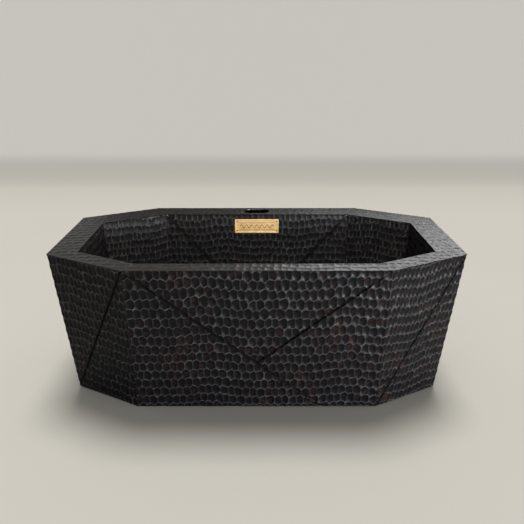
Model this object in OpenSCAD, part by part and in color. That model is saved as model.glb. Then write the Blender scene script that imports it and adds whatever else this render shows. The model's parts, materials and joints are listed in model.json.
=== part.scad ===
// Freestanding eight-sided bathtub: a hammered copper double wall on a hidden steel frame.
// Millimetres. The floor is z = 0, the length runs along X, and the tap deck is on the +Y side.
// The outer wall is ten sheets and the basin wall eight. Most of them fold round a corner.

/* [Rim and outer wall] */
// Overall length at the rim
rim_length = 1700; // [1600:10:1800]
// Overall width at the rim
rim_width = 813; // [790:1:850]
// Height of the rim's top above the floor
rim_height = 660; // [640:5:700]
// Length of each long side at the rim
side_length = 1020; // [960:5:1060]
// Width of each end at the rim
end_width = 482; // [450:2:510]
// Inward lean of the sides and ends, per mm of depth
side_lean = 0.0639; // [0.05:0.0001:0.07]
// Inward lean of the diagonal panels, per mm of depth
diagonal_lean = 0.0563; // [0.045:0.0001:0.062]
// Thickness of the wall sheets
sheet = 2; // [1.5:0.1:2.5]
// Thickness of the rim
rim_plate = 3; // [2.5:0.5:4]
// Gap where two sheets meet
seam = 1.2; // [0.8:0.1:1.6]
// Height of the wall's lower edge above the floor
skirt_height = 3; // [2:0.5:6]
// Depth at which the three front seams meet
junction_depth = 428; // [380:2:470]

/* [Basin] */
// Width of the rim along the front
front_rim = 68; // [66:1:80]
// Width of the rim along the tap deck
deck_rim = 109; // [104:1:120]
// Width of the rim at each end
end_rim = 118; // [100:1:130]
// Length of the mouth's front edge
mouth_front = 952; // [900:2:970]
// Length of the mouth's back edge
mouth_back = 908; // [860:2:940]
// Distance of the front end corners from the centre line
mouth_front_corner = 212; // [190:1:230]
// Distance of the back end corners from the centre line
mouth_back_corner = 158; // [140:1:180]
// Height of the basin floor above the ground
floor_height = 145; // [140:1:160]

/* [Tap deck and plaque] */
// Length of the tap opening
tap_length = 130; // [110:1:140]
// Width of the tap opening
tap_width = 70; // [60:1:72]
// Distance of the tap opening's centre from the centre line
tap_y = 355; // [350:1:358]
// Length of the plaque
plaque_length = 220; // [180:2:240]
// Height of the plaque
plaque_height = 70; // [60:1:85]
// Distance of the plaque's upper edge below the rim's top
plaque_drop = 27; // [20:1:40]
// Thickness of the plaque inside its border
plaque_plate = 1.5; // [1:0.1:2.5]

/* [Frame] */
// Lowest point of the base ring
ring_bottom = 25; // [24:1:30]
// Height of the base ring's channel
ring_depth = 40; // [35:1:40]
// Width of the base ring's flanges
ring_flange = 30; // [28:1:40]
// Wall thickness of the channel, angle and bearers
steel = 3; // [2:0.5:4]
// Width of each cross bearer
bearer_width = 40; // [36:1:50]
// Distance of the inner bearers from the middle
inner_bearer_x = 190; // [150:5:250]
// Distance of the outer bearers, and of the feet, from the middle
outer_bearer_x = 560; // [545:5:600]
// Thickness of the floor board
board = 18; // [15:1:18]
// Side of each upright's square tube
upright = 20; // [16:1:24]

/* [Levelling feet] */
// Distance of the feet from the centre line
foot_y = 230; // [180:5:260]
// Diameter of the foot's stud
stud = 12; // [10:1:14]
// Running gap between the stud and its threads, per side
stud_gap = 0.05; // [0.02:0.01:0.1]
// Diameter of the foot's pad
pad = 50; // [40:1:60]
// Diameter of the threaded boss
boss = 24; // [20:1:26]

/* [Waste] */
// Bore of the waste's body
waste_bore = 44; // [42:0.5:45]
// Outer diameter of the tail pipe
tail = 40; // [38:0.1:41]
// Diameter of the waste's flange
waste_flange = 72; // [68:1:76]
// Diameter of the stopper's cap
stopper = 60; // [56:1:64]
// Diameter of the stopper's stem
stem = 8; // [6:0.5:10]

/* [Detail] */
// Facets on round parts
$fn = 64; // [48:8:96]

/* [Hidden] */
wall_depth = rim_height - skirt_height;
basin_depth = rim_height - floor_height;
ring_top = ring_bottom + ring_depth;
board_bottom = floor_height - sheet - board;
bearer_height = board_bottom - ring_top;
ring_level = rim_height - ring_bottom;
outer_leans = [for (i = [0:7]) i % 2 == 0 ? side_lean : diagonal_lean];
outer = [
    [-side_length / 2, -rim_width / 2], [side_length / 2, -rim_width / 2],
    [rim_length / 2, -end_width / 2], [rim_length / 2, end_width / 2],
    [side_length / 2, rim_width / 2], [-side_length / 2, rim_width / 2],
    [-rim_length / 2, end_width / 2], [-rim_length / 2, -end_width / 2]
];
mouth_x = rim_length / 2 - end_rim;
mouth_low = -rim_width / 2 + front_rim;
mouth_high = rim_width / 2 - deck_rim;
mouth = [
    [-mouth_front / 2, mouth_low], [mouth_front / 2, mouth_low],
    [mouth_x, -mouth_front_corner], [mouth_x, mouth_back_corner],
    [mouth_back / 2, mouth_high], [-mouth_back / 2, mouth_high],
    [-mouth_x, mouth_back_corner], [-mouth_x, -mouth_front_corner]
];
corner_names = ["fl", "fr", "rf", "rb", "br", "bl", "lb", "lf"];
foot_names = ["fl", "fr", "br", "bl"];
foot_x = [-outer_bearer_x, outer_bearer_x, outer_bearer_x, -outer_bearer_x];
foot_sy = [-1, -1, 1, 1];
pad_top = 14;
nut_bottom = ring_top - 16;
boss_bottom = ring_top - 6;

// Eight-sided outlines -----------------------------------------------------------------

// The outward direction of side i of an outline, in plan
function outward(o, i) =
    let (a = o[i % 8], b = o[(i + 1) % 8], d = b - a) [d[1], -d[0]] / norm(d);

// How far side i lies from the middle at a depth, moved inwards by g
function reach(o, i, depth, g) =
    let (n = outward(o, i), s = outer_leans[i % 8]) n * o[i % 8] - s * depth - g * sqrt(1 + s * s);

// Corner i of an outline at a depth, moved inwards by g
function corner(o, i, depth, g = 0) =
    let (
        p = outward(o, (i + 7) % 8), q = outward(o, i % 8),
        c = reach(o, (i + 7) % 8, depth, g), e = reach(o, i % 8, depth, g)
    )
    [c * q[1] - e * p[1], e * p[0] - c * q[0]] / (p[0] * q[1] - p[1] * q[0]);

// The whole outline at a depth, moved inwards by g
function outline(o, depth, g = 0) = [for (i = [0:7]) corner(o, i, depth, g)];

// Position along side i, from its middle, of a point in plan
function along(o, i, p) =
    let (a = o[i % 8], b = o[(i + 1) % 8], d = (b - a) / norm(b - a)) (p - (a + b) / 2) * d;

// Where the left (0) or right (1) corner line of side i stands at a depth
function edge_x(o, i, right, depth) = along(o, i, corner(o, i + right, depth));

// A point v = [along, depth, fold] of side i, moved inwards by g; fold -1 or 1 is a corner line
function on_side(o, i, v, g) =
    let (
        m = (o[i % 8] + o[(i + 1) % 8]) / 2, n = outward(o, i),
        d = (o[(i + 1) % 8] - o[i % 8]) / norm(o[(i + 1) % 8] - o[i % 8]),
        s = outer_leans[i % 8],
        flat = m + d * v[0] - n * (s * v[1] + g * sqrt(1 + s * s)),
        turn = corner(o, v[2] < 0 ? i : i + 1, v[1], g),
        p = v[2] == 0 ? flat : turn
    )
    [p[0], p[1], rim_height - v[1]];

// Sheets -------------------------------------------------------------------------------

// One sheet made of plates [side, points]; a folded edge joins two plates and stays open
module folded_sheet(o, plates, outside, inside) {
    first = [0, 2 * len(plates[0][1])];
    points = [
        for (p = plates) for (g = [outside, inside]) for (v = p[1]) on_side(o, p[0], v, g)
    ];
    faces = [
        for (j = [0:len(plates) - 1])
            let (vs = plates[j][1], m = len(vs), b = first[j])
                each concat(
                    [[for (q = [0:m - 1]) b + q]],
                    [[for (q = [m - 1:-1:0]) b + m + q]],
                    [
                        for (q = [0:m - 1])
                            let (r = (q + 1) % m, open = abs(vs[q][2]) == 1 && vs[q][2] == vs[r][2])
                                if (!open) each [
                                    [b + q, b + m + q, b + m + r],
                                    [b + q, b + m + r, b + r]
                                ]
                    ]
                )
    ];
    polyhedron(points, faces);
}

// Upper left half of side i, cut from its right top corner to its left bottom corner
function upper_half(i) = [i, [
    [edge_x(outer, i, 0, rim_plate) + seam, rim_plate, 0],
    [edge_x(outer, i, 1, rim_plate) - seam, rim_plate, 0],
    [0, wall_depth - seam, -1],
    [0, rim_plate + seam, -1]
]];

// Lower right half of the same side
function lower_half(i) = [i, [
    [0, rim_plate + seam, 1],
    [0, wall_depth - seam, 1],
    [edge_x(outer, i, 1, wall_depth) - seam, wall_depth, 0],
    [edge_x(outer, i, 0, wall_depth) + seam, wall_depth, 0]
]];

// Where the long front seam reaches the lower edge
foot_of_seam = side_length / 2 * (wall_depth - junction_depth) / (junction_depth - rim_plate);

module outer_sheet(plates) {
    color([0.2, 0.15, 0.12]) folded_sheet(outer, plates, 0, sheet);
}

module long_side_upper() {
    outer_sheet([[0, [
        [edge_x(outer, 0, 0, rim_plate) + seam, rim_plate, 0],
        [edge_x(outer, 0, 1, rim_plate) - seam, rim_plate, 0],
        [0, junction_depth - seam, 0]
    ]]]);
}

module long_side_left() {
    outer_sheet([
        lower_half(7),
        [0, [
            [0, rim_plate + seam, -1],
            [foot_of_seam - seam, wall_depth, 0],
            [edge_x(outer, 0, 0, wall_depth) + seam, wall_depth, 0],
            [0, wall_depth - seam, -1]
        ]]
    ]);
}

module long_side_right() {
    outer_sheet([
        [0, [
            [0, rim_plate + seam, 1],
            [0, wall_depth - seam, 1],
            [edge_x(outer, 0, 1, wall_depth) - seam, wall_depth, 0],
            [foot_of_seam + seam, wall_depth, 0],
            [1.6 * seam, junction_depth, 0]
        ]],
        upper_half(1)
    ]);
}

module end_front_sheet() {
    outer_sheet([lower_half(1), upper_half(2)]);
}

module end_back_sheet() {
    outer_sheet([lower_half(2), upper_half(3)]);
}

module half_turn() {
    rotate([0, 0, 180]) children();
}

module wall_front_upper() { long_side_upper(); }
module wall_front_left() { long_side_left(); }
module wall_front_right() { long_side_right(); }
module wall_right_front() { end_front_sheet(); }
module wall_right_back() { end_back_sheet(); }
module wall_back_upper() { half_turn() long_side_upper(); }
module wall_back_right() { half_turn() long_side_left(); }
module wall_back_left() { half_turn() long_side_right(); }
module wall_left_back() { half_turn() end_front_sheet(); }
module wall_left_front() { half_turn() end_back_sheet(); }

// Basin --------------------------------------------------------------------------------

module liner_sheet(plates) {
    color([0.24, 0.18, 0.14]) folded_sheet(mouth, plates, -sheet, 0);
}

// The triangle of a long side, with its point at the basin floor
module liner_triangle(i) {
    liner_sheet([[i, [
        [edge_x(mouth, i, 0, rim_plate) + seam, rim_plate, 0],
        [edge_x(mouth, i, 1, rim_plate) - seam, rim_plate, 0],
        [0, basin_depth - seam, 0]
    ]]]);
}

// A diagonal panel on the right end of long side i, with the lower corner of that side
module liner_after(i) {
    liner_sheet([
        [i, [
            [0, rim_plate + seam, 1],
            [0, basin_depth, 1],
            [seam, basin_depth, 0]
        ]],
        [i + 1, [
            [edge_x(mouth, i + 1, 0, rim_plate) + seam, rim_plate, 0],
            [0, rim_plate, 2],
            [0, basin_depth, 2],
            [0, basin_depth, -1],
            [0, rim_plate + seam, -1]
        ]]
    ]);
}

// A diagonal panel on the left end of long side i, with the lower corner of that side
module liner_before(i) {
    liner_sheet([
        [i + 7, [
            [0, rim_plate, -2],
            [edge_x(mouth, i + 7, 1, rim_plate) - seam, rim_plate, 0],
            [0, rim_plate + seam, 1],
            [0, basin_depth, 1],
            [0, basin_depth, -2]
        ]],
        [i, [
            [0, rim_plate + seam, -1],
            [-seam, basin_depth, 0],
            [0, basin_depth, -1]
        ]]
    ]);
}

module liner_end(i) {
    liner_sheet([[i, [
        [0, rim_plate, -2], [0, rim_plate, 2], [0, basin_depth, 2], [0, basin_depth, -2]
    ]]]);
}

module liner_front() { liner_triangle(0); }
module liner_front_right() { liner_after(0); }
module liner_right() { liner_end(2); }
module liner_back_right() { liner_before(4); }
module liner_back() { liner_triangle(4); }
module liner_back_left() { liner_after(4); }
module liner_left() { liner_end(6); }
module liner_front_left() { liner_before(0); }

module basin_floor() {
    color([0.22, 0.17, 0.14])
        difference() {
            translate([0, 0, floor_height - sheet])
                linear_extrude(sheet)
                    polygon(outline(mouth, basin_depth, -sheet));
            translate([0, 0, floor_height - sheet - 1])
                cylinder(d = waste_bore + 7, h = sheet + 2);
        }
}

module tap_slot() {
    translate([0, tap_y]) {
        square([tap_length - tap_width, tap_width], center = true);
        for (s = [-1, 1])
            translate([s * (tap_length - tap_width) / 2, 0])
                circle(d = tap_width);
    }
}

module rim() {
    color([0.32, 0.3, 0.28])
        translate([0, 0, rim_height - rim_plate])
            linear_extrude(rim_plate)
                difference() {
                    polygon(outer);
                    polygon(mouth);
                    tap_slot();
                }
}

// Stiffening plate under the tap deck
module tap_plate() {
    color("silver")
        translate([0, 0, rim_height - 2 * rim_plate])
            linear_extrude(rim_plate)
                difference() {
                    translate([-95, mouth_high + sheet + 3.5])
                        square([190, deck_rim - 2 * sheet - 8]);
                    tap_slot();
                }
}

// Plaque -------------------------------------------------------------------------------

// Stands children on the basin's back wall, at a distance below the rim and off the wall
module on_back_wall(drop, off) {
    translate([0, mouth_high - side_lean * drop, rim_height - drop])
        rotate([90 - atan(side_lean), 0, 0])
            translate([0, 0, off])
                children();
}

module plaque() {
    w = plaque_length;
    h = plaque_height;
    color("gold")
        on_back_wall(plaque_drop + plaque_height / 2, 0)
            difference() {
                translate([-w / 2, -h / 2, 0]) cube([w, h, plaque_plate + 0.8]);
                translate([-w / 2 + 5, -h / 2 + 5, plaque_plate]) cube([w - 10, h - 10, 2]);
                for (sx = [-1, 1], sy = [-1, 1])
                    translate([sx * (w / 2 - 11), sy * (h / 2 - 11), -1])
                        cylinder(d = 3.2, h = 5, $fn = 24);
            }
}

module plaque_pins() {
    color("goldenrod")
        on_back_wall(plaque_drop + plaque_height / 2, 0)
            for (sx = [-1, 1], sy = [-1, 1])
                translate([sx * (plaque_length / 2 - 11), sy * (plaque_height / 2 - 11), 0]) {
                    cylinder(d = 3, h = plaque_plate, $fn = 24);
                    translate([0, 0, plaque_plate])
                        cylinder(d1 = 7, d2 = 4.5, h = 1.4, $fn = 24);
                }
}

// Frame --------------------------------------------------------------------------------

// A band between two insets of the outer wall's outline at one depth
module band(depth, from, to, low, high) {
    translate([0, 0, low])
        linear_extrude(high - low)
            difference() {
                polygon(outline(outer, depth, from));
                polygon(outline(outer, depth, to));
            }
}

// Angle under the rim, cut away where the tap plate sits
module top_ring() {
    top = rim_height - rim_plate;
    color("slategray")
        difference() {
            union() {
                band(28, sheet + 4, sheet + 4 + steel, top - 25, top);
                band(28, sheet + 4, sheet + 29, top - steel, top);
            }
            translate([-97, 200, top - 40]) cube([194, 300, 60]);
        }
}

// Channel inside the wall's foot, open towards the middle
module base_ring() {
    color("slategray") {
        band(ring_level, sheet + 4, sheet + 4 + steel, ring_bottom, ring_top);
        band(ring_level, sheet + 4, sheet + 4 + ring_flange, ring_bottom, ring_bottom + steel);
        band(ring_level, sheet + 4, sheet + 4 + ring_flange, ring_top - steel, ring_top);
    }
}

// Leaning square tube behind corner i, from the base ring to the rim angle
module upright_at(i) {
    top = rim_height - rim_plate - steel;
    low = corner(outer, i, rim_height - ring_top, sheet + 22);
    high = corner(outer, i, rim_height - top, sheet + 22);
    h = top - ring_top;
    k = (high - low) / h;
    color("steelblue")
        translate([low[0], low[1], ring_top])
            multmatrix([[1, 0, k[0], 0], [0, 1, k[1], 0], [0, 0, 1, 0]])
                linear_extrude(h)
                    difference() {
                        square(upright, center = true);
                        square(upright - 4, center = true);
                    }
}

module post_fl() { upright_at(0); }
module post_fr() { upright_at(1); }
module post_rf() { upright_at(2); }
module post_rb() { upright_at(3); }
module post_br() { upright_at(4); }
module post_bl() { upright_at(5); }
module post_lb() { upright_at(6); }
module post_lf() { upright_at(7); }

// Cross bearer on edge, open at both ends
module bearer(x, half_length, feet) {
    color("lightsteelblue")
        difference() {
            translate([x - bearer_width / 2, -half_length, ring_top])
                cube([bearer_width, 2 * half_length, bearer_height]);
            translate([x - bearer_width / 2 + steel, -half_length - 1, ring_top + steel])
                cube([bearer_width - 2 * steel, 2 * half_length + 2, bearer_height - 2 * steel]);
            if (feet)
                for (s = [-1, 1])
                    translate([x, s * foot_y, ring_top - 1])
                        cylinder(d = boss + 0.2, h = steel + 2);
        }
}

module bearer_1() { bearer(-outer_bearer_x, 315, true); }
module bearer_2() { bearer(-inner_bearer_x, 350, false); }
module bearer_3() { bearer(inner_bearer_x, 350, false); }
module bearer_4() { bearer(outer_bearer_x, 315, true); }

module floor_board() {
    color("burlywood")
        translate([0, 0, board_bottom])
            linear_extrude(board)
                difference() {
                    polygon(outline(mouth, basin_depth, -sheet - 2));
                    circle(d = 92);
                }
}

// Feet ---------------------------------------------------------------------------------

module at_foot(i) {
    translate([foot_x[i], foot_sy[i] * foot_y, 0]) children();
}

module hexagon(flats, h) {
    cylinder(d = flats / cos(30), h = h, $fn = 6);
}

module foot_bosses() {
    color("dimgray")
        for (i = [0:3])
            at_foot(i)
                translate([0, 0, boss_bottom])
                    difference() {
                        cylinder(d = boss, h = board_bottom - steel - 1 - boss_bottom);
                        translate([0, 0, -1])
                            cylinder(d = stud + 2 * stud_gap, h = bearer_height + 10);
                    }
}

module foot_locknuts() {
    color("silver")
        for (i = [0:3])
            at_foot(i)
                translate([0, 0, nut_bottom])
                    difference() {
                        hexagon(19, 10);
                        translate([0, 0, -1]) cylinder(d = stud + 2 * stud_gap, h = 12);
                    }
}

// Plain stud standing in for the threaded one, with its spanner hexagon above the pad
module foot_stud(i) {
    color("gainsboro")
        at_foot(i) {
            translate([0, 0, 5]) cylinder(d = 10, h = pad_top - 5 + 1);
            translate([0, 0, pad_top]) hexagon(17, 8);
            translate([0, 0, pad_top]) cylinder(d = stud, h = ring_top + 47 - pad_top);
        }
}

module foot_pad(i) {
    color([0.1, 0.1, 0.1])
        at_foot(i)
            difference() {
                union() {
                    cylinder(d = pad, h = 6);
                    translate([0, 0, 6]) cylinder(d1 = pad - 6, d2 = 24, h = pad_top - 6);
                }
                translate([0, 0, 4]) cylinder(d = 10 + 2 * stud_gap, h = pad_top);
            }
}

module stud_fl() { foot_stud(0); }
module stud_fr() { foot_stud(1); }
module stud_br() { foot_stud(2); }
module stud_bl() { foot_stud(3); }
module pad_fl() { foot_pad(0); }
module pad_fr() { foot_pad(1); }
module pad_br() { foot_pad(2); }
module pad_bl() { foot_pad(3); }

// Waste --------------------------------------------------------------------------------

module ring(outside, bore, low, high) {
    translate([0, 0, low])
        difference() {
            cylinder(d = outside, h = high - low);
            translate([0, 0, -1]) cylinder(d = bore, h = high - low + 2);
        }
}

// Flanged body with a cross bar that guides the stopper's stem
module waste_body() {
    f = floor_height;
    color("gold") {
        ring(waste_flange, waste_bore, f, f + 3.5);
        ring(waste_bore + 6, waste_bore, f - 45, f + 0.5);
        difference() {
            union() {
                for (a = [0, 90])
                    rotate([0, 0, a])
                        translate([-waste_bore / 2 - 0.5, -2, f - 22])
                            cube([waste_bore + 1, 4, 6]);
                translate([0, 0, f - 27]) cylinder(d = 14, h = 12);
            }
            translate([0, 0, f - 30]) cylinder(d = stem + 0.15, h = 20);
        }
    }
}

module waste_gasket() {
    color([0.15, 0.15, 0.15])
        ring(80, waste_bore + 6.4, floor_height - sheet - 3, floor_height - sheet);
}

module waste_nut() {
    color("darkgoldenrod")
        translate([0, 0, floor_height - sheet - 15])
            difference() {
                hexagon(70, 12);
                translate([0, 0, -1]) cylinder(d = waste_bore + 6.2, h = 14);
            }
}

// Tail pipe: a spigot in the waste body, and the free end that takes the trap
module waste_tail() {
    f = floor_height - 45;
    color("khaki")
        difference() {
            union() {
                translate([0, 0, 28]) cylinder(d = tail, h = f - 28 + 1);
                translate([0, 0, f]) cylinder(d = waste_bore - 0.1, h = 14);
            }
            translate([0, 0, 27]) cylinder(d = tail - 4, h = f);
        }
}

module stopper_cap() {
    color("gold")
        translate([0, 0, floor_height + 5])
            rotate_extrude()
                polygon([[0, 0], [stopper / 2 - 1, 0], [stopper / 2, 1], [stopper / 2, 2],
                         [stopper / 2 - 3, 3.2], [stopper / 2 - 14, 4.4], [0, 4.8]]);
}

module stopper_seal() {
    color([0.12, 0.12, 0.12]) ring(52, stem, floor_height + 3.5, floor_height + 5);
}

module stopper_stem() {
    color("goldenrod")
        translate([0, 0, floor_height - 36])
            cylinder(d = stem, h = 41);
}

// Sub-parts ----------------------------------------------------------------------------

// Sub-part to draw

wall_front_upper();
wall_front_left();
wall_front_right();
wall_right_front();
wall_right_back();
wall_back_upper();
wall_back_right();
wall_back_left();
wall_left_back();
wall_left_front();
liner_front();
liner_front_right();
liner_right();
liner_back_right();
liner_back();
liner_back_left();
liner_left();
liner_front_left();
basin_floor();
rim();
tap_plate();
plaque();
plaque_pins();
top_ring();
base_ring();
post_fl();
post_fr();
post_rf();
post_rb();
post_br();
post_bl();
post_lb();
post_lf();
bearer_1();
bearer_2();
bearer_3();
bearer_4();
floor_board();
foot_bosses();
foot_locknuts();
stud_fl();
stud_fr();
stud_br();
stud_bl();
pad_fl();
pad_fr();
pad_br();
pad_bl();
waste_body();
waste_gasket();
waste_nut();
waste_tail();
stopper_cap();
stopper_seal();
stopper_stem();
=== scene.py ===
"""Hammered copper bathtub.

Every sheet of the wall, basin and rim is beaten in mesh over the flat faces of its CAD node."""
import json
import math

import bmesh
import bpy
import numpy as np
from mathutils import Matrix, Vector


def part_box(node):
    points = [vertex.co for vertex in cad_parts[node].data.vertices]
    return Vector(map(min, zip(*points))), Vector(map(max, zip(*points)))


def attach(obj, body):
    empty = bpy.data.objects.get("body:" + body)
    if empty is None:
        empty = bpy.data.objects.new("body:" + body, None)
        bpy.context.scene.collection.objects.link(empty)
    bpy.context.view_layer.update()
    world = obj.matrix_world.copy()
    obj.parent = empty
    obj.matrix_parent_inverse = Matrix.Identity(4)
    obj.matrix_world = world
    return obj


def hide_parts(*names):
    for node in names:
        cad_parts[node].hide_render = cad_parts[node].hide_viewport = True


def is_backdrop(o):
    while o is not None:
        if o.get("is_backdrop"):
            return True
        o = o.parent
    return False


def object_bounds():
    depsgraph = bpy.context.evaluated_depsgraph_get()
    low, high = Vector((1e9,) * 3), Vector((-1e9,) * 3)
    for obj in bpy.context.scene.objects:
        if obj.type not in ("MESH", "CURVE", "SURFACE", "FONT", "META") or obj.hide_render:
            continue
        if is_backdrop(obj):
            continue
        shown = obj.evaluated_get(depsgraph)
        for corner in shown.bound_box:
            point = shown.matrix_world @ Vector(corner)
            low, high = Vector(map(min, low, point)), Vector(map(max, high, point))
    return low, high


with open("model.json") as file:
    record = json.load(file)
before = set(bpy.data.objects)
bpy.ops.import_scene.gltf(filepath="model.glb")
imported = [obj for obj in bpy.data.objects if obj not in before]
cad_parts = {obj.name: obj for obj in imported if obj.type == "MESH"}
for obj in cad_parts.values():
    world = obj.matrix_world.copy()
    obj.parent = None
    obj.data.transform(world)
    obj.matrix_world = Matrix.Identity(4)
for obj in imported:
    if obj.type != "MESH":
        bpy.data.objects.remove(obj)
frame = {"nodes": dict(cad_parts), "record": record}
cad_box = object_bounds()
nodes = frame["nodes"]
RIM_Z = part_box("rim")[1][2]

WALLS = sorted(n for n in nodes if n.startswith("wall_"))
LINERS = sorted(n for n in nodes if n.startswith("liner_"))
SHEET = 0.002                   # thickness of the copper
PLATE = 0.0024                  # visible edge of the rim and of the basin floor
MARK = (0.0313, 0.0430)         # spacing of the hammer marks, along and across a row
NARROW = (0.0228, 0.0430)       # and on the diagonal panels
GROOVE = 0.0038                 # half width of the groove where two sheets meet
GROOVE_DEPTH = 0.0045
GROOVE_FOOT = 0.65              # half width of the groove's flat foot, as a part of GROOVE
RING_REACH = 0.07               # the frame's rings lie within this of the rim and of the ground
BY_RING = 0.0057                # deepest a sheet may go in front of a ring
DEEPEST = 0.0105                # and elsewhere
FOLD = 0.007                    # reach of a fold's rounding
LIP = 0.005                     # the marks grow shallow this near to a level edge
ARRIS = 38                      # edges that turn by more degrees than this stay sharp
SOFTNESS = 14                   # how tightly the hollows' rims are rounded, higher is tighter
TOUCH = 4e-4                    # two plates this near to each other meet
UP = Vector((0, 0, 1))


# ---------------------------------------------------------------- materials

def material(name):
    """A new node material, its node tree, and its Principled shader."""
    m = bpy.data.materials.new(name)
    m.use_nodes = True
    return m, m.node_tree, m.node_tree.nodes["Principled BSDF"]


def noise(tree, scale, detail=3.0, rough=0.55, stretch=(1, 1, 1)):
    """The value of a noise in object space, stretched along the axes."""
    place = tree.nodes.new("ShaderNodeTexCoord")
    mapping = tree.nodes.new("ShaderNodeMapping")
    mapping.inputs["Scale"].default_value = stretch
    tex = tree.nodes.new("ShaderNodeTexNoise")
    tex.inputs["Scale"].default_value = scale
    tex.inputs["Detail"].default_value = detail
    tex.inputs["Roughness"].default_value = rough
    tree.links.new(place.outputs["Object"], mapping.inputs["Vector"])
    tree.links.new(mapping.outputs["Vector"], tex.inputs["Vector"])
    return tex.outputs["Fac"]


def ramp(tree, value, *stops):
    """A colour ramp through (position, colour) stops; a colour may be one grey value."""
    node = tree.nodes.new("ShaderNodeValToRGB")
    elements = node.color_ramp.elements
    while len(elements) < len(stops):
        elements.new(0.5)
    for element, (at, colour) in zip(elements, stops):
        element.position = at
        grey = isinstance(colour, (int, float))
        element.color = (colour,) * 3 + (1,) if grey else tuple(colour) + (1,)
    tree.links.new(value, node.inputs["Fac"])
    return node.outputs["Color"]


def blend(tree, factor, a, b, mode="MIX"):
    """Two colour sockets mixed by a factor socket or number."""
    mix = tree.nodes.new("ShaderNodeMix")
    mix.data_type = "RGBA"
    mix.blend_type = mode
    if isinstance(factor, float):
        mix.inputs[0].default_value = factor
    else:
        tree.links.new(factor, mix.inputs[0])
    tree.links.new(a, mix.inputs[6])
    tree.links.new(b, mix.inputs[7])
    return mix.outputs[2]


def bump(tree, shader, height, strength, distance):
    """Fine relief from a height socket."""
    node = tree.nodes.new("ShaderNodeBump")
    node.inputs["Strength"].default_value = strength
    node.inputs["Distance"].default_value = distance
    tree.links.new(height, node.inputs["Height"])
    tree.links.new(node.outputs["Normal"], shader.inputs["Normal"])


def rgb(tree, colour):
    node = tree.nodes.new("ShaderNodeRGB")
    node.outputs[0].default_value = tuple(colour) + (1,)
    return node.outputs[0]


def blackened_copper(name, dark, brown, worn_and_highlight, rough, ior, wear_and_highlight=1.0):
    """Blackened copper: brown flecks in the hollows, and lighter ridges, partly burnished by use
    and partly a painted highlight.
    """
    m, tree, shader = material(name)
    flecks = ramp(tree, noise(tree, 48, 4, 0.65), (0.50, 0.0), (0.70, 1.0))
    clouds = ramp(tree, noise(tree, 5, 3, 0.5), (0.34, 0.12), (0.74, 1.0))
    amount = blend(tree, 1.0, flecks, clouds, "MULTIPLY")
    ridge = tree.nodes.new("ShaderNodeAttribute")
    ridge.attribute_name = "ridge"
    # painted highlight: the ridges' lighter grey stands partly for real burnishing and partly for
    # the glints the ridges catch
    high = ramp(tree, ridge.outputs["Fac"], (0.10, 0.0), (0.60, 0.35 * wear_and_highlight), (1.0, wear_and_highlight))
    patchy = ramp(tree, noise(tree, 26, 4, 0.65), (0.30, 0.25), (0.68, 1.0))
    rubbed_and_highlit = blend(tree, 1.0, high, patchy, "MULTIPLY")
    coloured = blend(tree, amount, rgb(tree, dark), rgb(tree, brown))
    tree.links.new(blend(tree, rubbed_and_highlit, coloured, rgb(tree, worn_and_highlight)), shader.inputs["Base Color"])
    low, top = rough
    gloss = ramp(tree, noise(tree, 38, 4, 0.6), (0.3, low), (0.7, top))
    tree.links.new(gloss, shader.inputs["Roughness"])
    shader.inputs["Metallic"].default_value = 0.0
    shader.inputs["IOR"].default_value = ior
    bump(tree, shader, noise(tree, 240, 4, 0.6), 0.25, 0.0006)
    return m


def metal(name, colour, shade, rough, grain=120, stretch=(1, 1, 1), metallic=1.0, engraved=None):
    """Bare or painted metal with cloudy colour and fine grain, darker where it is engraved."""
    m, tree, shader = material(name)
    dark = tuple(c * shade for c in colour)
    tint = ramp(tree, noise(tree, grain * 0.25, 4, 0.6), (0.3, dark), (0.7, colour))
    if engraved:
        ridge = tree.nodes.new("ShaderNodeAttribute")
        ridge.attribute_name = "ridge"
        shadow = ramp(tree, ridge.outputs["Fac"], (0.1, engraved), (0.8, 1.0))
        tint = blend(tree, 1.0, tint, shadow, "MULTIPLY")
    tree.links.new(tint, shader.inputs["Base Color"])
    low, top = rough
    tree.links.new(ramp(tree, noise(tree, grain, 4, 0.6, stretch), (0.3, low), (0.7, top)),
                   shader.inputs["Roughness"])
    shader.inputs["Metallic"].default_value = metallic
    bump(tree, shader, noise(tree, grain * 2, 3, 0.6, stretch), 0.15, 0.0003)
    return m


def matte(name, colour, shade, rough, grain, stretch=(1, 1, 1)):
    return metal(name, colour, shade, rough, grain, stretch, metallic=0.0)


# the fourth colour of each copper is the grey of its ridges, partly burnishing and partly a
# painted highlight
OUTER = blackened_copper("outer_copper", (0.0020, 0.0020, 0.0023), (0.017, 0.0075, 0.0055),
                         (0.060, 0.061, 0.064), (0.28, 0.46), 1.16)
BASIN = blackened_copper("basin_copper", (0.003, 0.003, 0.0033), (0.020, 0.009, 0.007),
                         (0.072, 0.072, 0.075), (0.36, 0.52), 1.24, 1.0)
RIM = blackened_copper("rim_copper", (0.0125, 0.012, 0.0125), (0.030, 0.017, 0.014),
                       (0.105, 0.101, 0.102), (0.27, 0.44), 1.3, 1.0)
PLAQUE = metal("plaque_brass", (0.58, 0.375, 0.155), 0.72, (0.34, 0.5), 160, (0.2, 1, 1),
               metallic=0.35, engraved=0.16)
WASTE = metal("waste_brass", (0.40, 0.27, 0.15), 0.55, (0.25, 0.45), 140)
STEEL = metal("steel", (0.55, 0.55, 0.56), 0.75, (0.3, 0.5), 180, (1, 1, 8))
PAINT = matte("painted_steel", (0.035, 0.035, 0.038), 0.6, (0.35, 0.55), 90)
PLY = matte("plywood", (0.50, 0.34, 0.19), 0.6, (0.55, 0.75), 40, (1, 12, 12))
PLASTIC = matte("foot_plastic", (0.022, 0.022, 0.022), 0.6, (0.45, 0.65), 150)
RUBBER = matte("seal_rubber", (0.016, 0.016, 0.016), 0.6, (0.6, 0.8), 200)
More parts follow.
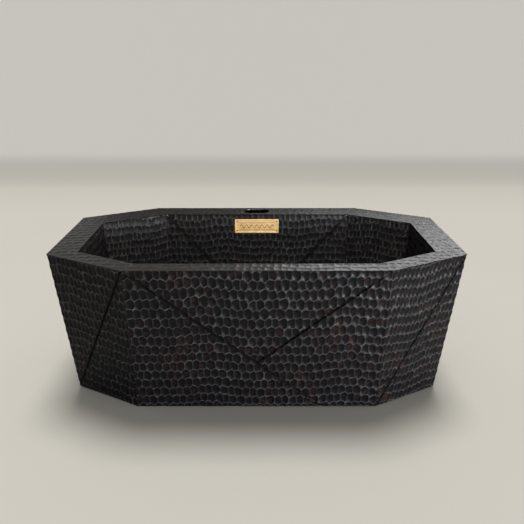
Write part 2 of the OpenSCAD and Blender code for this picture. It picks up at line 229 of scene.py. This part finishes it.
BY_SLOT = {
    "outer_copper": OUTER, "basin_copper": BASIN, "rim_copper": RIM, "plaque_brass": PLAQUE,
    "waste_brass": WASTE, "steel": STEEL, "painted_steel": PAINT, "plywood": PLY,
    "foot_plastic": PLASTIC, "seal_rubber": RUBBER,
}


# ---------------------------------------------------------------- hammer marks

class Hammer:
    """Rows of hollows that meet in narrow ridges, each set a little off its place."""

    def __init__(self, seed, size, depth, upright=0.4):
        self.size = size
        self.depth = depth
        self.upright = upright      # how strong the ridges within a row are
        rng = np.random.default_rng(seed)
        self.n = 128
        shape = (self.n, self.n)
        self.du = rng.uniform(-0.18, 0.18, shape)
        self.dv = rng.uniform(-0.09, 0.09, shape)
        self.steep = rng.uniform(3.9, 5.3, shape)
        self.lift = rng.uniform(-0.18, 0.18, shape)
        self.shift = rng.uniform(-0.15, 0.15, self.n) + 0.5 * (np.arange(self.n) % 2)
        self.wave = rng.uniform(0, 6.28, 3)

    def height(self, u, v):
        """Height, 0 or less, and nearness to a ridge, 0 to 1.

        u is the distance along a row of marks and v the distance across the rows."""
        x = u / self.size[0]
        bend = 0.16 * np.sin(x * 0.33 + self.wave[0]) + 0.10 * np.sin(x * 0.71 + self.wave[1])
        y = v / self.size[1] + bend
        row = np.floor(y).astype(int)
        walls, rows = [], []
        for j in (-1, 0, 1):
            r = (row + j) % self.n
            xr = x - self.shift[r]
            column = np.floor(xr).astype(int)
            for i in (-1, 0, 1):
                c = (column + i) % self.n
                away_u = xr - (column + i + 0.5 + self.du[r, c])
                away_v = y - (row + j + 0.5 + self.dv[r, c])
                far = (away_u ** 2 + away_v ** 2) ** 1.5
                walls.append(self.lift[r, c] + self.steep[r, c] * far)
                rows.append(np.full(x.shape, j))
        order = np.argsort(np.array(walls), axis=0)[:4]
        walls = np.take_along_axis(np.array(walls), order, 0)
        rows = np.take_along_axis(np.array(rows), order, 0)
        others = np.exp(-SOFTNESS * (walls - walls[0])).sum(0)
        top = np.exp(-SOFTNESS * (1 - walls[0]))
        soft = walls[0] - np.log(others + top) / SOFTNESS
        ridge = np.clip(1 - (walls[1] - walls[0]) / 0.6, 0, 1)
        level = np.clip(1 - (walls[2] - walls[0]) / 0.7, 0, 1)
        ridge = ridge * np.where(rows[0] == rows[1], np.maximum(self.upright, level), 1.0)
        ridge = np.maximum(ridge, 0.7 * np.clip((walls[0] - 0.72) / 0.4, 0, 1))
        return np.minimum(soft - 1 + np.log(2) / SOFTNESS, 0) * self.depth, ridge


# ---------------------------------------------------------------- plates of the CAD sheets

def hull(points):
    """The corners of a convex outline, anticlockwise."""
    points = sorted(set((round(float(x), 6), round(float(y), 6)) for x, y in points))

    def half(row):
        out = []
        for p in row:
            while len(out) > 1 and turn(out[-2], out[-1], p) <= 1e-9:
                out.pop()
            out.append(p)
        return out[:-1]

    return half(points) + half(points[::-1])


def turn(a, b, c):
    """Above 0 where the way a-b-c bends to the left."""
    return (b[0] - a[0]) * (c[1] - a[1]) - (b[1] - a[1]) * (c[0] - a[0])


def sides(outline):
    """The pairs of corners along a closed outline."""
    return list(zip(outline, outline[1:] + outline[:1]))


def extent(outline, margin=0.0):
    """The lowest and highest corner of an outline's box, wider by a margin."""
    return ([min(p[k] for p in outline) - margin for k in (0, 1)],
            [max(p[k] for p in outline) + margin for k in (0, 1)])


def in_plan(bm):
    """The vertices' x and y as an array."""
    return np.array([(v.co.x, v.co.y) for v in bm.verts])


def plates(node, wanted, least=0.004):
    """The flat faces of a CAD node that pass wanted(normal, middle) and are larger than least."""
    mesh = nodes[node].data
    groups = {}
    for face in mesh.polygons:
        n = face.normal
        if not wanted(n, face.center):
            continue
        flat = n.dot(face.center)
        same = [k for k in groups if (k[0] - n).length < 0.02 and abs(k[1] - flat) < 5e-4]
        key = same[0] if same else (n.copy().freeze(), flat)
        groups.setdefault(key, []).append(face)
    found = []
    for (n, _), faces in groups.items():
        if sum(f.area for f in faces) < least:
            continue
        points = [mesh.vertices[i].co for f in faces for i in f.vertices]
        along = UP.cross(n).normalized() if abs(n.z) < 0.9 else Vector((1, 0, 0))
        across = n.cross(along).normalized()
        outline = hull([(p.dot(along), p.dot(across)) for p in points])
        found.append({"n": Vector(n), "u": along, "v": across,
                      "flat": Vector(n).dot(points[0]), "outline": outline})
    return found


def in_space(plate, x, y, h=0.0):
    """The point in space at x, y on a plate and h above it."""
    return plate["u"] * x + plate["v"] * y + plate["n"] * (plate["flat"] + h)


def edge_kinds(plate, others):
    """For each edge its kind and, for a fold, the other plate's normal.

    It is "fold" where it turns into another plate, "lip" where it is level, else "seam"."""
    kinds = []
    for a, b in sides(plate["outline"]):
        pa, pb = in_space(plate, *a), in_space(plate, *b)
        middle = (pa + pb) / 2
        kind = "lip" if abs(pa.z - pb.z) < 0.002 else "seam"
        beyond = None
        for other in others:
            if other is plate or (other["n"] - plate["n"]).length < 0.05:
                continue
            if abs(other["n"].dot(middle) - other["flat"]) > TOUCH:
                continue
            x, y = other["u"].dot(middle), other["v"].dot(middle)
            inside = min(turn(c, d, (x, y)) / math.dist(c, d) for c, d in sides(other["outline"]))
            if inside > -TOUCH and kind == "seam":
                kind, beyond = "fold", other["n"]
        kinds.append((kind, beyond))
    return kinds


def grid_mesh(low, high, step):
    """A flat bmesh grid in the XY plane, from low to high."""
    count = [max(2, int(math.ceil((high[k] - low[k]) / step))) for k in (0, 1)]
    xs = np.linspace(low[0], high[0], count[0] + 1)
    ys = np.linspace(low[1], high[1], count[1] + 1)
    gx, gy = np.meshgrid(xs, ys)
    verts = np.stack([gx.ravel(), gy.ravel(), np.zeros(gx.size)], 1)
    a = (np.arange(count[1])[:, None] * (count[0] + 1) + np.arange(count[0])[None, :]).ravel()
    faces = np.stack([a, a + 1, a + count[0] + 2, a + count[0] + 1], 1)
    mesh = bpy.data.meshes.new("grid")
    mesh.from_pydata(verts.tolist(), [], faces.tolist())
    bm = bmesh.new()
    bm.from_mesh(mesh)
    bpy.data.meshes.remove(mesh)
    return bm


def cut(bm, a, b, keep=True, faces=None):
    """Cuts along the line a-b; with keep, what lies to the right of it goes."""
    d = Vector((b[0] - a[0], b[1] - a[1], 0)).normalized()
    geom = list(bm.verts) + list(bm.edges) + list(bm.faces)
    if faces is not None:
        geom = (faces + list({e for f in faces for e in f.edges})
                + list({v for f in faces for v in f.verts}))
    bmesh.ops.bisect_plane(bm, geom=geom, dist=1e-6, plane_co=(a[0], a[1], 0),
                           plane_no=(d.y, -d.x, 0), clear_outer=keep)


def groove_lines(bm, a, b, groove):
    """Edges along the top and the foot of a seam's groove."""
    dx, dy = (b[0] - a[0]) / math.dist(a, b), (b[1] - a[1]) / math.dist(a, b)

    def near(f):
        c = f.calc_center_median()
        return abs(dx * (c.y - a[1]) - dy * (c.x - a[0])) < 0.009

    for d in (groove, GROOVE_FOOT * groove):
        p, q = (a[0] - dy * d, a[1] + dx * d), (b[0] - dy * d, b[1] + dx * d)
        cut(bm, p, q, keep=False, faces=[f for f in bm.faces if near(f)])


def to_segment(points, a, b):
    """Distance of points to the segment a-b."""
    a, b = np.array(a), np.array(b)
    t = np.clip(((points - a) @ (b - a)) / ((b - a) @ (b - a)), 0, 1)
    return np.linalg.norm(points - a - t[:, None] * (b - a), axis=1)


def thicken(bm, direction):
    """Turns the open edges down by a thickness, so the sheet shows its edge."""
    border = [e for e in bm.edges if e.is_boundary]
    made = bmesh.ops.extrude_edge_only(bm, edges=border)["geom"]
    for v in made:
        if isinstance(v, bmesh.types.BMVert):
            v.co += direction


def finish_piece(name, bm, mat, replaced, body="tub"):
    """The bmesh as a piece, smooth but for its arrises."""
    mesh = bpy.data.meshes.new(name)
    bm.to_mesh(mesh)
    bm.free()
    mesh.polygons.foreach_set("use_smooth", [True] * len(mesh.polygons))
    mesh.set_sharp_from_angle(angle=math.radians(ARRIS))
    obj = bpy.data.objects.new(name, mesh)
    bpy.context.scene.collection.objects.link(obj)
    mesh.materials.append(mat)
    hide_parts(*replaced)
    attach(obj, body)
    return obj


def beat(points, level, hammer, folds, seams, lips, groove):
    """Height of each point of a plate, how near it is to a ridge, and its pull to each fold."""
    h, ridge = hammer.height(points[:, 0], points[:, 1])
    pulls = []
    for line in folds:
        far = np.clip(to_segment(points, *line) / FOLD, 0, 1)
        pull = 1 - far * far * (3 - 2 * far)
        rows = 0.42 - 0.14 * np.cos(level * math.tau / MARK[1]) + 0.06 * np.sin(level * 61)
        h = h * (1 - pull) - hammer.depth * rows * pull
        pulls.append(pull)
    for line in lips:
        far = to_segment(points, *line)
        h = h * (0.35 + 0.65 * np.clip(far / LIP, 0, 1))
        h = h - 0.0007 * (1 - np.clip(far / 0.003, 0, 1)) ** 2
    for line in seams:
        far = to_segment(points, *line)
        h = h - GROOVE_DEPTH * np.clip((groove - far) / ((1 - GROOVE_FOOT) * groove), 0, 1)
        ridge = ridge * np.clip((far - groove) / 0.005, 0, 1)
    by_ring = (level > RIM_Z - RING_REACH) | (level < RING_REACH)
    return np.maximum(h, np.where(by_ring, -BY_RING, -DEEPEST)), ridge, pulls


def hammered(name, hammers, faces, all_faces, step, groove, mat):
    """One copper sheet: each of its flat faces beaten, and joined where they fold."""
    whole = bmesh.new()
    whole.verts.layers.float.new("ridge")
    for plate in faces:
        bm = grid_mesh(*extent(plate["outline"]), step)
        edges = sides(plate["outline"])
        for a, b in edges:
            cut(bm, a, b)
        kinds = edge_kinds(plate, all_faces)
        chosen = {"fold": [], "seam": [], "lip": []}
        for edge, (kind, _) in zip(edges, kinds):
            chosen[kind].append(edge)
        for a, b in chosen["seam"]:
            groove_lines(bm, a, b, groove)
        points = in_plan(bm)
        axes = np.array([plate["u"], plate["v"], plate["n"]])
        place = points @ axes[:2] + plate["flat"] * axes[2]
        side = round(math.atan2(plate["n"].y, plate["n"].x) * 8 / math.tau) % 8
        h, ridge, pulls = beat(points, place[:, 2], hammers[side],
                               chosen["fold"], chosen["seam"], chosen["lip"], groove)
        way = np.repeat(axes[2:], len(points), 0)
        turns = [beyond for kind, beyond in kinds if kind == "fold"]
        for pull, beyond in zip(pulls, turns):
            mitre = (plate["n"] + beyond).normalized()
            mitre = np.array(mitre / mitre.dot(plate["n"]))
            way += pull[:, None] * (mitre - axes[2])
        place += way * h[:, None]
        own = bm.verts.layers.float.new("ridge")
        for v, p, r in zip(bm.verts, place.tolist(), ridge.tolist()):
            v.co = p
            v[own] = r
        joined = bpy.data.meshes.new("part")
        bm.to_mesh(joined)
        bm.free()
        whole.from_mesh(joined)
        bpy.data.meshes.remove(joined)
    bmesh.ops.remove_doubles(whole, verts=[v for v in whole.verts if v.is_boundary], dist=2e-5)
    mean = sum((p["n"] for p in faces), Vector()).normalized()
    thicken(whole, -mean * SHEET)
    return finish_piece(name + "_hammered", whole, mat, [name])


def outward(n, at):
    """Whether an upright face looks away from the tub's middle."""
    return n.x * at.x + n.y * at.y > 0 and abs(n.z) < 0.3


def inward(n, at):
    """Whether an upright face looks towards the tub's middle."""
    return n.x * at.x + n.y * at.y < 0 and abs(n.z) < 0.3


# one hammer for each of the eight directions; the odd ones are the diagonal panels
wall_hammers = [Hammer(20 + k, NARROW, 0.0044, 0.5) if k % 2 else Hammer(20 + k, MARK, 0.0050, 0.5)
                for k in range(8)]
basin_hammers = [Hammer(40 + k, (0.0205 if k % 2 else 0.0275, 0.036), 0.0028, 1.0)
                 for k in range(8)]
for names, way, hammers, step, groove, mat, slot in (
        (WALLS, outward, wall_hammers, 0.003, GROOVE, OUTER, "outer_copper"),
        (LINERS, inward, basin_hammers, 0.004, 1.5 * GROOVE, BASIN, "basin_copper")):
    found = {n: plates(n, way) for n in names}
    every = [p for group in found.values() for p in group]
    for n in names:
        hammered(n, hammers, found[n], every, step, groove, mat)


# ---------------------------------------------------------------- rim and floor

def outline_at(node, level, wanted):
    """The convex outline in plan of a node's points at a level that pass wanted(point)."""
    mesh = nodes[node].data
    return hull([(v.co.x, v.co.y) for v in mesh.vertices
                 if abs(v.co.z - level) < 1e-4 and wanted(v.co)])


def open_hole(bm, outline):
    """Cuts a convex hole, keeping the cuts near it."""
    low, high = extent(outline, 0.02)

    def near(f):
        c = f.calc_center_median()
        return low[0] < c.x < high[0] and low[1] < c.y < high[1]

    edges = sides(outline)
    for a, b in edges:
        cut(bm, a, b, keep=False, faces=[f for f in bm.faces if near(f)])

    def inside(f):
        c = f.calc_center_median()
        return all(turn(a, b, (c.x, c.y)) > -1e-9 for a, b in edges)

    bmesh.ops.delete(bm, geom=[f for f in bm.faces if inside(f)], context="FACES")


def flat_piece(name, level, outer_line, holes, hammer, step, depth_edge, mat):
    """A level hammered plate with holes, lower by depth_edge along its edges."""
    bm = grid_mesh(*extent(outer_line), step)
    for a, b in sides(outer_line):
        cut(bm, a, b)
    for hole in holes:
        open_hole(bm, hole)
    points = in_plan(bm)
    h, ridge = hammer.height(points[:, 0], points[:, 1])
    edge = np.full(len(points), 1.0)
    for line in [outer_line] + holes:
        for a, b in sides(line):
            edge = np.minimum(edge, to_segment(points, a, b))
    h = h * (0.3 + 0.7 * np.clip(edge / 0.006, 0, 1))
    h = h - depth_edge * (1 - np.clip(edge / 0.004, 0, 1)) ** 2
    tone = bm.verts.layers.float.new("ridge")
    for v, x, r in zip(bm.verts, h, ridge):
        v.co.z = level + float(x)
        v[tone] = float(r)
    thicken(bm, -UP * PLATE)
    return finish_piece(name + "_hammered", bm, mat, [name])


def in_mouth(c):
    """Whether a corner of the rim belongs to the opening over the basin."""
    slack = 0.002
    return (abs(c.x) < liner_box[1].x + slack
            and liner_box[0].y - slack < c.y < liner_box[1].y + slack)


def in_tap_opening(c):
    """Whether a corner of the rim belongs to the tap opening in the deck behind the basin."""
    slack = 0.004
    return abs(c.x) < 0.12 and liner_box[1].y + slack < c.y < cad_box[1][1] - slack


def corner_box(names):
    """The box round several CAD nodes."""
    lows, highs = zip(*(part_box(n) for n in names))
    return (Vector([min(p[k] for p in lows) for k in range(3)]),
            Vector([max(p[k] for p in highs) for k in range(3)]))


liner_box = corner_box(LINERS)
rim_outline = outline_at("rim", RIM_Z, lambda c: True)
mouth_outline = outline_at("rim", RIM_Z, in_mouth)
tap_outline = outline_at("rim", RIM_Z, in_tap_opening)
flat_piece("rim", RIM_Z, rim_outline, [mouth_outline, tap_outline],
           Hammer(7, (0.029, 0.034), 0.0024), 0.003, 0.0008, RIM)

FLOOR_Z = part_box("basin_floor")[1][2]
floor_outline = outline_at("basin_floor", FLOOR_Z, lambda c: True)
waste_outline = outline_at("basin_floor", FLOOR_Z, lambda c: c.xy.length < 0.06)
flat_piece("basin_floor", FLOOR_Z, floor_outline, [waste_outline],
           Hammer(8, MARK, 0.0013), 0.0045, 0.0002, BASIN)


# ---------------------------------------------------------------- plaque

def ornament(x, y):
    """Depth, 0 to 1, of a zigzag between two fine lines, about the middle."""
    wave = np.abs((x / 0.026) % 1 - 0.5) * 4 - 1
    zigzag = np.clip(1.8 - np.abs(y - 0.0095 * wave) / 0.0021, 0, 1) * (np.abs(x) < 0.0845)
    lines = np.clip(1.6 - np.abs(np.abs(y) - 0.0185) / 0.001, 0, 1) * (np.abs(x) < 0.088)
    return np.maximum(zigzag, lines)


def brass_plaque():
    """The plaque with its raised border and an engraved pattern."""
    found = sorted(plates("plaque", lambda n, at: n.y < -0.8, 0.0004), key=lambda p: p["flat"])
    panel, border = found[0], found[-1]
    low, high = extent(border["outline"])
    inner, _ = extent(panel["outline"])
    rise, width = border["flat"] - panel["flat"], inner[0] - low[0]
    bm = grid_mesh(low, high, 0.0009)
    points = in_plan(bm)
    middle = (np.array(low) + np.array(high)) / 2
    away = (np.array(high) - np.array(low)) / 2 - np.abs(points - middle)
    edge = away.min(axis=1)
    cut_in = ornament(*(points - middle + (0, 0.002)).T)
    slope = 0.0012              # width of the border's inner slope and of its rounded edge
    h = -rise * np.clip((edge - width) / slope, 0, 1) - 0.0005 * cut_in
    h = h - 0.0004 * np.clip(1 - edge / slope, 0, 1)
    tone = bm.verts.layers.float.new("ridge")
    for v, x, r in zip(bm.verts, h, 1 - cut_in):
        v.co = in_space(border, v.co.x, v.co.y, float(x))
        v[tone] = float(r)
    back = min(v.co.dot(border["n"]) for v in nodes["plaque"].data.vertices)
    thicken(bm, border["n"] * (back - border["flat"]))
    finish_piece("plaque_engraved", bm, PLAQUE, ["plaque"])


brass_plaque()


# ---------------------------------------------------------------- CAD nodes that stay

for entry in frame["record"]["subparts"]:
    node = nodes[entry["node"]]
    finish = BY_SLOT[entry["material_slot"]]
    if node.data.materials:
        for k in range(len(node.data.materials)):
            node.material_slots[k].material = finish
    else:
        node.data.materials.append(finish)


# ---------------------------------------------------------------- stage, lights and camera

def softbox(name, where, aim, size, power, colour=(1, 1, 1)):
    """A rectangular lamp that looks at aim."""
    lamp = bpy.data.lights.new(name, "AREA")
    lamp.shape = "RECTANGLE"
    lamp.size, lamp.size_y = size
    lamp.energy = power
    lamp.color = colour
    obj = bpy.data.objects.new(name, lamp)
    obj.location = where
    obj.rotation_euler = (Vector(aim) - Vector(where)).to_track_quat("-Z", "Y").to_euler()
    bpy.context.scene.collection.objects.link(obj)
    return obj


def stage_piece(name, verts, faces, low_colour, high_colour=None, glow=0.0):
    """A pale studio surface, with painted shade that darkens it towards the back; above the floor
    it turns to high_colour and glows.
    """
    mesh = bpy.data.meshes.new(name)
    mesh.from_pydata(verts, [], faces)
    mesh.polygons.foreach_set("use_smooth", [True] * len(mesh.polygons))
    m, tree, shader = material(name)
    tint = ramp(tree, noise(tree, 0.8), (0.3, [c * 0.985 for c in low_colour]), (0.7, low_colour))
    place = tree.nodes.new("ShaderNodeTexCoord")
    parts = tree.nodes.new("ShaderNodeSeparateXYZ")
    tree.links.new(place.outputs["Object"], parts.inputs["Vector"])
    # painted shade: the colour grows darker with distance towards the backdrop
    away = tree.nodes.new("ShaderNodeMath")
    away.operation = "DIVIDE"
    away.inputs[1].default_value = BACK
    tree.links.new(parts.outputs["Y"], away.inputs[0])
    painted_falloff = ramp(tree, away.outputs[0], (0.05, 1.0), (0.65, 0.92), (0.9, 0.83))
    tint = blend(tree, 1.0, tint, painted_falloff, "MULTIPLY")
    if high_colour:
        up = ramp(tree, parts.outputs["Z"], (0.0, 0.0), (COVE, 1.0))
        tint = blend(tree, up, tint, rgb(tree, high_colour))
        tree.links.new(blend(tree, up, rgb(tree, (0, 0, 0)), rgb(tree, high_colour)),
                       shader.inputs["Emission Color"])
        shader.inputs["Emission Strength"].default_value = glow
    tree.links.new(tint, shader.inputs["Base Color"])
    shader.inputs["Roughness"].default_value = 0.9
    shader.inputs["Specular IOR Level"].default_value = 0.1
    mesh.materials.append(m)
    obj = bpy.data.objects.new(name, mesh)
    bpy.context.scene.collection.objects.link(obj)
    obj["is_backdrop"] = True
    return obj


def scene_objects():
    """Every mesh that belongs to the tub."""
    return [o for o in bpy.context.scene.objects if o.type == "MESH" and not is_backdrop(o)]


PALE = (0.675, 0.656, 0.60)
COVE = 0.32                     # radius of the sweep from the floor to the backdrop
BACK = 3.7                      # where the backdrop stands
SIDE = 14                       # half the width of the floor and the backdrop
stage_piece("floor", [(-SIDE, -SIDE, 0), (SIDE, -SIDE, 0),
                      (SIDE, BACK - COVE, 0), (-SIDE, BACK - COVE, 0)],
            [(0, 1, 2, 3)], PALE)
bend = [(BACK - COVE * (1 - math.sin(a)), COVE * (1 - math.cos(a)))
        for a in np.linspace(0, math.pi / 2, 25)] + [(BACK, 3.2)]
wall = stage_piece("wall", [(x, y, z) for y, z in bend for x in (-SIDE, SIDE)],
                   [(2 * k, 2 * k + 1, 2 * k + 3, 2 * k + 2) for k in range(len(bend) - 1)],
                   PALE, (0.405, 0.396, 0.376), 0.95)
wall.visible_shadow = False
# two dark cards behind the tub, seen only as reflections, keep the far rim from going grey
LOW, TOP = RIM_Z + 0.01, RIM_Z + 0.27
for name, left, right, shade in (("card_left", -0.95, 0.25, 0.02),
                                 ("card_right", 0.25, 1.15, 0.27)):
    card = stage_piece(name, [(left, 0.85, LOW), (right, 0.85, LOW),
                              (right, 0.85, TOP), (left, 0.85, TOP)],
                       [(0, 1, 2, 3)], (shade, shade, shade))
    card.visible_camera = card.visible_diffuse = card.visible_shadow = False
    card.visible_transmission = False

sun = bpy.data.lights.new("sun", "SUN")
sun.energy = 2.0
sun.angle = math.radians(22)
sun.color = (1.0, 0.985, 0.96)
high = bpy.data.objects.new("sun", sun)
high.rotation_euler = Vector((0.04, 0.27, 1)).to_track_quat("Z", "Y").to_euler()
bpy.context.scene.collection.objects.link(high)
key = softbox("key", (2.1, -2.8, 0.66), (0.2, -0.4, 0.38), (1.5, 0.9), 360, (0.94, 0.97, 1.0))
side = softbox("side", (1.75, 3.1, 2.15), (0.5, 0, 0.66), (3.2, 1.1), 54, (0.98, 0.99, 1.0))
fill = softbox("fill", (0.6, -2.5, 2.4), (0, 0.3, 0.5), (1.4, 0.8), 150, (1.0, 0.99, 0.97))
rear = softbox("rear", (-2.3, 2.9, 1.0), (0, 0.4, 0.4), (2.2, 1.0), 120, (1.0, 1.0, 1.0))
basin = [n + "_hammered" for n in LINERS + ["basin_floor"]] + ["plaque_engraved", "plaque_pins"]
outside = [n + "_hammered" for n in WALLS]
below_rim = [o.name for o in scene_objects() if o.name != "rim_hammered"]
for lamp, wanted in ((key, below_rim), (side, None), (fill, basin), (rear, outside)):
    lit = bpy.data.collections.new(lamp.name + "_receivers")
    for piece in scene_objects():
        if wanted is None or piece.name in wanted:
            lit.objects.link(piece)
    lamp.visible_camera = False
    lamp.light_linking.receiver_collection = lit

world = bpy.data.worlds.new("studio")
bpy.context.scene.world = world
world.use_nodes = True
sky = world.node_tree.nodes["Background"]
sky.inputs["Color"].default_value = (1.0, 0.985, 0.95, 1)
sky.inputs["Strength"].default_value = 0.33

camera = bpy.data.cameras.new("camera")
camera.sensor_width = 36.0
camera.lens = 34.97
camera.shift_x = 0.010
eye = bpy.data.objects.new("camera", camera)
eye.location = (0, -2.148, RIM_Z + 0.7623)
eye.rotation_euler = (math.radians(90 - 22.69), 0, 0)
bpy.context.scene.collection.objects.link(eye)
bpy.context.scene.camera = eye

scene = bpy.context.scene
scene.view_settings.view_transform = "Standard"
scene.view_settings.look = "None"
